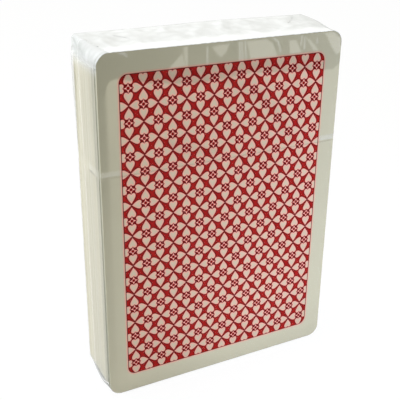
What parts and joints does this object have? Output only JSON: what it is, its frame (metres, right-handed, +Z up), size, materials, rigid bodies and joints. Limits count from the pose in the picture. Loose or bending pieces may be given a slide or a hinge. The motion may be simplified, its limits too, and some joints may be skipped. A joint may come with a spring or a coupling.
{
  "type": "playing card deck",
  "caption": "Deck of loose poker-size playing cards with red heart-patterned backs, sealed in clear overwrap film with a tear tape.",
  "frame": {"origin": "centre of the base, on the surface that the pack stands on", "axes": "+X along the cards' width, +Y from the front, where the card backs show, to the rear, +Z up along the cards' height"},
  "size_m": [0.0634, 0.0158, 0.0884],
  "materials": {
    "card_stock": "varnished card",
    "clear_film": "clear glossy film",
    "tear_tape": "clear glossy film, two layers"
  },
  "bodies": {
    "film_lower": {"film_lower": "clear_film"},
    "first_joker": {"first_joker": "card_stock"},
    "second_joker": {"second_joker": "card_stock"},
    "ace_of_spades": {"ace_of_spades": "card_stock"},
    "two_of_spades": {"two_of_spades": "card_stock"},
    "three_of_spades": {"three_of_spades": "card_stock"},
    "four_of_spades": {"four_of_spades": "card_stock"},
    "five_of_spades": {"five_of_spades": "card_stock"},
    "six_of_spades": {"six_of_spades": "card_stock"},
    "seven_of_spades": {"seven_of_spades": "card_stock"},
    "eight_of_spades": {"eight_of_spades": "card_stock"},
    "nine_of_spades": {"nine_of_spades": "card_stock"},
    "ten_of_spades": {"ten_of_spades": "card_stock"},
    "jack_of_spades": {"jack_of_spades": "card_stock"},
    "queen_of_spades": {"queen_of_spades": "card_stock"},
    "king_of_spades": {"king_of_spades": "card_stock"},
    "ace_of_diamonds": {"ace_of_diamonds": "card_stock"},
    "two_of_diamonds": {"two_of_diamonds": "card_stock"},
    "three_of_diamonds": {"three_of_diamonds": "card_stock"},
    "four_of_diamonds": {"four_of_diamonds": "card_stock"},
    "five_of_diamonds": {"five_of_diamonds": "card_stock"},
    "six_of_diamonds": {"six_of_diamonds": "card_stock"},
    "seven_of_diamonds": {"seven_of_diamonds": "card_stock"},
    "eight_of_diamonds": {"eight_of_diamonds": "card_stock"},
    "nine_of_diamonds": {"nine_of_diamonds": "card_stock"},
    "ten_of_diamonds": {"ten_of_diamonds": "card_stock"},
    "jack_of_diamonds": {"jack_of_diamonds": "card_stock"},
    "queen_of_diamonds": {"queen_of_diamonds": "card_stock"},
    "king_of_diamonds": {"king_of_diamonds": "card_stock"},
    "king_of_clubs": {"king_of_clubs": "card_stock"},
    "queen_of_clubs": {"queen_of_clubs": "card_stock"},
    "jack_of_clubs": {"jack_of_clubs": "card_stock"},
    "ten_of_clubs": {"ten_of_clubs": "card_stock"},
    "nine_of_clubs": {"nine_of_clubs": "card_stock"},
    "eight_of_clubs": {"eight_of_clubs": "card_stock"},
    "seven_of_clubs": {"seven_of_clubs": "card_stock"},
    "six_of_clubs": {"six_of_clubs": "card_stock"},
    "five_of_clubs": {"five_of_clubs": "card_stock"},
    "four_of_clubs": {"four_of_clubs": "card_stock"},
    "three_of_clubs": {"three_of_clubs": "card_stock"},
    "two_of_clubs": {"two_of_clubs": "card_stock"},
    "ace_of_clubs": {"ace_of_clubs": "card_stock"},
    "king_of_hearts": {"king_of_hearts": "card_stock"},
    "queen_of_hearts": {"queen_of_hearts": "card_stock"},
    "jack_of_hearts": {"jack_of_hearts": "card_stock"},
    "ten_of_hearts": {"ten_of_hearts": "card_stock"},
    "nine_of_hearts": {"nine_of_hearts": "card_stock"},
    "eight_of_hearts": {"eight_of_hearts": "card_stock"},
    "seven_of_hearts": {"seven_of_hearts": "card_stock"},
    "six_of_hearts": {"six_of_hearts": "card_stock"},
    "five_of_hearts": {"five_of_hearts": "card_stock"},
    "four_of_hearts": {"four_of_hearts": "card_stock"},
    "three_of_hearts": {"three_of_hearts": "card_stock"},
    "two_of_hearts": {"two_of_hearts": "card_stock"},
    "ace_of_hearts": {"ace_of_hearts": "card_stock"},
    "tear_strip": {"tear_strip": "tear_tape"},
    "film_upper": {"film_upper": "clear_film"},
    "pull_tab": {"pull_tab": "tear_tape"}
  },
  "joints": [
    {"name": "draw_first_joker", "type": "slide", "parent": "film_lower", "child": "first_joker", "axis": [0, 0, 1], "range_m": [0, 0.045]},
    {"name": "draw_second_joker", "type": "slide", "parent": "film_lower", "child": "second_joker", "axis": [0, 0, 1], "range_m": [0, 0.04432]},
    {"name": "draw_ace_of_spades", "type": "slide", "parent": "film_lower", "child": "ace_of_spades", "axis": [0, 0, 1], "range_m": [0, 0.04364]},
    {"name": "draw_two_of_spades", "type": "slide", "parent": "film_lower", "child": "two_of_spades", "axis": [0, 0, 1], "range_m": [0, 0.04296]},
    {"name": "draw_three_of_spades", "type": "slide", "parent": "film_lower", "child": "three_of_spades", "axis": [0, 0, 1], "range_m": [0, 0.04228]},
    {"name": "draw_four_of_spades", "type": "slide", "parent": "film_lower", "child": "four_of_spades", "axis": [0, 0, 1], "range_m": [0, 0.0416]},
    {"name": "draw_five_of_spades", "type": "slide", "parent": "film_lower", "child": "five_of_spades", "axis": [0, 0, 1], "range_m": [0, 0.04092]},
    {"name": "draw_six_of_spades", "type": "slide", "parent": "film_lower", "child": "six_of_spades", "axis": [0, 0, 1], "range_m": [0, 0.04024]},
    {"name": "draw_seven_of_spades", "type": "slide", "parent": "film_lower", "child": "seven_of_spades", "axis": [0, 0, 1], "range_m": [0, 0.03956]},
    {"name": "draw_eight_of_spades", "type": "slide", "parent": "film_lower", "child": "eight_of_spades", "axis": [0, 0, 1], "range_m": [0, 0.03889]},
    {"name": "draw_nine_of_spades", "type": "slide", "parent": "film_lower", "child": "nine_of_spades", "axis": [0, 0, 1], "range_m": [0, 0.03821]},
    {"name": "draw_ten_of_spades", "type": "slide", "parent": "film_lower", "child": "ten_of_spades", "axis": [0, 0, 1], "range_m": [0, 0.03753]},
    {"name": "draw_jack_of_spades", "type": "slide", "parent": "film_lower", "child": "jack_of_spades", "axis": [0, 0, 1], "range_m": [0, 0.03685]},
    {"name": "draw_queen_of_spades", "type": "slide", "parent": "film_lower", "child": "queen_of_spades", "axis": [0, 0, 1], "range_m": [0, 0.03617]},
    {"name": "draw_king_of_spades", "type": "slide", "parent": "film_lower", "child": "king_of_spades", "axis": [0, 0, 1], "range_m": [0, 0.03549]},
    {"name": "draw_ace_of_diamonds", "type": "slide", "parent": "film_lower", "child": "ace_of_diamonds", "axis": [0, 0, 1], "range_m": [0, 0.03481]},
    {"name": "draw_two_of_diamonds", "type": "slide", "parent": "film_lower", "child": "two_of_diamonds", "axis": [0, 0, 1], "range_m": [0, 0.03413]},
    {"name": "draw_three_of_diamonds", "type": "slide", "parent": "film_lower", "child": "three_of_diamonds", "axis": [0, 0, 1], "range_m": [0, 0.03345]},
    {"name": "draw_four_of_diamonds", "type": "slide", "parent": "film_lower", "child": "four_of_diamonds", "axis": [0, 0, 1], "range_m": [0, 0.03277]},
    {"name": "draw_five_of_diamonds", "type": "slide", "parent": "film_lower", "child": "five_of_diamonds", "axis": [0, 0, 1], "range_m": [0, 0.03209]},
    {"name": "draw_six_of_diamonds", "type": "slide", "parent": "film_lower", "child": "six_of_diamonds", "axis": [0, 0, 1], "range_m": [0, 0.03141]},
    {"name": "draw_seven_of_diamonds", "type": "slide", "parent": "film_lower", "child": "seven_of_diamonds", "axis": [0, 0, 1], "range_m": [0, 0.03073]},
    {"name": "draw_eight_of_diamonds", "type": "slide", "parent": "film_lower", "child": "eight_of_diamonds", "axis": [0, 0, 1], "range_m": [0, 0.03006]},
    {"name": "draw_nine_of_diamonds", "type": "slide", "parent": "film_lower", "child": "nine_of_diamonds", "axis": [0, 0, 1], "range_m": [0, 0.02938]},
    {"name": "draw_ten_of_diamonds", "type": "slide", "parent": "film_lower", "child": "ten_of_diamonds", "axis": [0, 0, 1], "range_m": [0, 0.0287]},
    {"name": "draw_jack_of_diamonds", "type": "slide", "parent": "film_lower", "child": "jack_of_diamonds", "axis": [0, 0, 1], "range_m": [0, 0.02802]},
    {"name": "draw_queen_of_diamonds", "type": "slide", "parent": "film_lower", "child": "queen_of_diamonds", "axis": [0, 0, 1], "range_m": [0, 0.02734]},
    {"name": "draw_king_of_diamonds", "type": "slide", "parent": "film_lower", "child": "king_of_diamonds", "axis": [0, 0, 1], "range_m": [0, 0.02666]},
    {"name": "draw_king_of_clubs", "type": "slide", "parent": "film_lower", "child": "king_of_clubs", "axis": [0, 0, 1], "range_m": [0, 0.02598]},
    {"name": "draw_queen_of_clubs", "type": "slide", "parent": "film_lower", "child": "queen_of_clubs", "axis": [0, 0, 1], "range_m": [0, 0.0253]},
    {"name": "draw_jack_of_clubs", "type": "slide", "parent": "film_lower", "child": "jack_of_clubs", "axis": [0, 0, 1], "range_m": [0, 0.02462]},
    {"name": "draw_ten_of_clubs", "type": "slide", "parent": "film_lower", "child": "ten_of_clubs", "axis": [0, 0, 1], "range_m": [0, 0.02394]},
    {"name": "draw_nine_of_clubs", "type": "slide", "parent": "film_lower", "child": "nine_of_clubs", "axis": [0, 0, 1], "range_m": [0, 0.02327]},
    {"name": "draw_eight_of_clubs", "type": "slide", "parent": "film_lower", "child": "eight_of_clubs", "axis": [0, 0, 1], "range_m": [0, 0.02259]},
    {"name": "draw_seven_of_clubs", "type": "slide", "parent": "film_lower", "child": "seven_of_clubs", "axis": [0, 0, 1], "range_m": [0, 0.02191]},
    {"name": "draw_six_of_clubs", "type": "slide", "parent": "film_lower", "child": "six_of_clubs", "axis": [0, 0, 1], "range_m": [0, 0.02123]},
    {"name": "draw_five_of_clubs", "type": "slide", "parent": "film_lower", "child": "five_of_clubs", "axis": [0, 0, 1], "range_m": [0, 0.02055]},
    {"name": "draw_four_of_clubs", "type": "slide", "parent": "film_lower", "child": "four_of_clubs", "axis": [0, 0, 1], "range_m": [0, 0.01987]},
    {"name": "draw_three_of_clubs", "type": "slide", "parent": "film_lower", "child": "three_of_clubs", "axis": [0, 0, 1], "range_m": [0, 0.01919]},
    {"name": "draw_two_of_clubs", "type": "slide", "parent": "film_lower", "child": "two_of_clubs", "axis": [0, 0, 1], "range_m": [0, 0.01851]},
    {"name": "draw_ace_of_clubs", "type": "slide", "parent": "film_lower", "child": "ace_of_clubs", "axis": [0, 0, 1], "range_m": [0, 0.01783]},
    {"name": "draw_king_of_hearts", "type": "slide", "parent": "film_lower", "child": "king_of_hearts", "axis": [0, 0, 1], "range_m": [0, 0.01715]},
    {"name": "draw_queen_of_hearts", "type": "slide", "parent": "film_lower", "child": "queen_of_hearts", "axis": [0, 0, 1], "range_m": [0, 0.01647]},
    {"name": "draw_jack_of_hearts", "type": "slide", "parent": "film_lower", "child": "jack_of_hearts", "axis": [0, 0, 1], "range_m": [0, 0.01579]},
    {"name": "draw_ten_of_hearts", "type": "slide", "parent": "film_lower", "child": "ten_of_hearts", "axis": [0, 0, 1], "range_m": [0, 0.01511]},
    {"name": "draw_nine_of_hearts", "type": "slide", "parent": "film_lower", "child": "nine_of_hearts", "axis": [0, 0, 1], "range_m": [0, 0.01444]},
    {"name": "draw_eight_of_hearts", "type": "slide", "parent": "film_lower", "child": "eight_of_hearts", "axis": [0, 0, 1], "range_m": [0, 0.01376]},
    {"name": "draw_seven_of_hearts", "type": "slide", "parent": "film_lower", "child": "seven_of_hearts", "axis": [0, 0, 1], "range_m": [0, 0.01308]},
    {"name": "draw_six_of_hearts", "type": "slide", "parent": "film_lower", "child": "six_of_hearts", "axis": [0, 0, 1], "range_m": [0, 0.0124]},
    {"name": "draw_five_of_hearts", "type": "slide", "parent": "film_lower", "child": "five_of_hearts", "axis": [0, 0, 1], "range_m": [0, 0.01172]},
    {"name": "draw_four_of_hearts", "type": "slide", "parent": "film_lower", "child": "four_of_hearts", "axis": [0, 0, 1], "range_m": [0, 0.01104]},
    {"name": "draw_three_of_hearts", "type": "slide", "parent": "film_lower", "child": "three_of_hearts", "axis": [0, 0, 1], "range_m": [0, 0.01036]},
    {"name": "draw_two_of_hearts", "type": "slide", "parent": "film_lower", "child": "two_of_hearts", "axis": [0, 0, 1], "range_m": [0, 0.00968]},
    {"name": "draw_ace_of_hearts", "type": "slide", "parent": "film_lower", "child": "ace_of_hearts", "axis": [0, 0, 1], "range_m": [0, 0.009]},
    {"name": "strip_off", "type": "slide", "parent": "first_joker", "child": "tear_strip", "axis": [0, 0, 1], "range_m": [0, 0.04]},
    {"name": "cap_off", "type": "slide", "parent": "tear_strip", "child": "film_upper", "axis": [0, 0, 1], "range_m": [0, 0.04]},
    {"name": "tab_lift", "type": "hinge", "parent": "tear_strip", "child": "pull_tab", "pos_m": [-0.03173, -0.00054, 0.06068], "axis": [0, 0, -1], "range_deg": [0, 150]}
  ],
  "couplings": [
    {"joint": "draw_second_joker", "follows": "draw_first_joker", "ratio": 0.9849},
    {"joint": "draw_ace_of_spades", "follows": "draw_first_joker", "ratio": 0.9698},
    {"joint": "draw_two_of_spades", "follows": "draw_first_joker", "ratio": 0.9547},
    {"joint": "draw_three_of_spades", "follows": "draw_first_joker", "ratio": 0.9396},
    {"joint": "draw_four_of_spades", "follows": "draw_first_joker", "ratio": 0.9245},
    {"joint": "draw_five_of_spades", "follows": "draw_first_joker", "ratio": 0.9094},
    {"joint": "draw_six_of_spades", "follows": "draw_first_joker", "ratio": 0.8943},
    {"joint": "draw_seven_of_spades", "follows": "draw_first_joker", "ratio": 0.8792},
    {"joint": "draw_eight_of_spades", "follows": "draw_first_joker", "ratio": 0.8642},
    {"joint": "draw_nine_of_spades", "follows": "draw_first_joker", "ratio": 0.8491},
    {"joint": "draw_ten_of_spades", "follows": "draw_first_joker", "ratio": 0.834},
    {"joint": "draw_jack_of_spades", "follows": "draw_first_joker", "ratio": 0.8189},
    {"joint": "draw_queen_of_spades", "follows": "draw_first_joker", "ratio": 0.8038},
    {"joint": "draw_king_of_spades", "follows": "draw_first_joker", "ratio": 0.7887},
    {"joint": "draw_ace_of_diamonds", "follows": "draw_first_joker", "ratio": 0.7736},
    {"joint": "draw_two_of_diamonds", "follows": "draw_first_joker", "ratio": 0.7585},
    {"joint": "draw_three_of_diamonds", "follows": "draw_first_joker", "ratio": 0.7434},
    {"joint": "draw_four_of_diamonds", "follows": "draw_first_joker", "ratio": 0.7283},
    {"joint": "draw_five_of_diamonds", "follows": "draw_first_joker", "ratio": 0.7132},
    {"joint": "draw_six_of_diamonds", "follows": "draw_first_joker", "ratio": 0.6981},
    {"joint": "draw_seven_of_diamonds", "follows": "draw_first_joker", "ratio": 0.683},
    {"joint": "draw_eight_of_diamonds", "follows": "draw_first_joker", "ratio": 0.6679},
    {"joint": "draw_nine_of_diamonds", "follows": "draw_first_joker", "ratio": 0.6528},
    {"joint": "draw_ten_of_diamonds", "follows": "draw_first_joker", "ratio": 0.6377},
    {"joint": "draw_jack_of_diamonds", "follows": "draw_first_joker", "ratio": 0.6226},
    {"joint": "draw_queen_of_diamonds", "follows": "draw_first_joker", "ratio": 0.6075},
    {"joint": "draw_king_of_diamonds", "follows": "draw_first_joker", "ratio": 0.5925},
    {"joint": "draw_king_of_clubs", "follows": "draw_first_joker", "ratio": 0.5774},
    {"joint": "draw_queen_of_clubs", "follows": "draw_first_joker", "ratio": 0.5623},
    {"joint": "draw_jack_of_clubs", "follows": "draw_first_joker", "ratio": 0.5472},
    {"joint": "draw_ten_of_clubs", "follows": "draw_first_joker", "ratio": 0.5321},
    {"joint": "draw_nine_of_clubs", "follows": "draw_first_joker", "ratio": 0.517},
    {"joint": "draw_eight_of_clubs", "follows": "draw_first_joker", "ratio": 0.5019},
    {"joint": "draw_seven_of_clubs", "follows": "draw_first_joker", "ratio": 0.4868},
    {"joint": "draw_six_of_clubs", "follows": "draw_first_joker", "ratio": 0.4717},
    {"joint": "draw_five_of_clubs", "follows": "draw_first_joker", "ratio": 0.4566},
    {"joint": "draw_four_of_clubs", "follows": "draw_first_joker", "ratio": 0.4415},
    {"joint": "draw_three_of_clubs", "follows": "draw_first_joker", "ratio": 0.4264},
    {"joint": "draw_two_of_clubs", "follows": "draw_first_joker", "ratio": 0.4113},
    {"joint": "draw_ace_of_clubs", "follows": "draw_first_joker", "ratio": 0.3962},
    {"joint": "draw_king_of_hearts", "follows": "draw_first_joker", "ratio": 0.3811},
    {"joint": "draw_queen_of_hearts", "follows": "draw_first_joker", "ratio": 0.366},
    {"joint": "draw_jack_of_hearts", "follows": "draw_first_joker", "ratio": 0.3509},
    {"joint": "draw_ten_of_hearts", "follows": "draw_first_joker", "ratio": 0.3358},
    {"joint": "draw_nine_of_hearts", "follows": "draw_first_joker", "ratio": 0.3208},
    {"joint": "draw_eight_of_hearts", "follows": "draw_first_joker", "ratio": 0.3057},
    {"joint": "draw_seven_of_hearts", "follows": "draw_first_joker", "ratio": 0.2906},
    {"joint": "draw_six_of_hearts", "follows": "draw_first_joker", "ratio": 0.2755},
    {"joint": "draw_five_of_hearts", "follows": "draw_first_joker", "ratio": 0.2604},
    {"joint": "draw_four_of_hearts", "follows": "draw_first_joker", "ratio": 0.2453},
    {"joint": "draw_three_of_hearts", "follows": "draw_first_joker", "ratio": 0.2302},
    {"joint": "draw_two_of_hearts", "follows": "draw_first_joker", "ratio": 0.2151},
    {"joint": "draw_ace_of_hearts", "follows": "draw_first_joker", "ratio": 0.2}
  ]
}
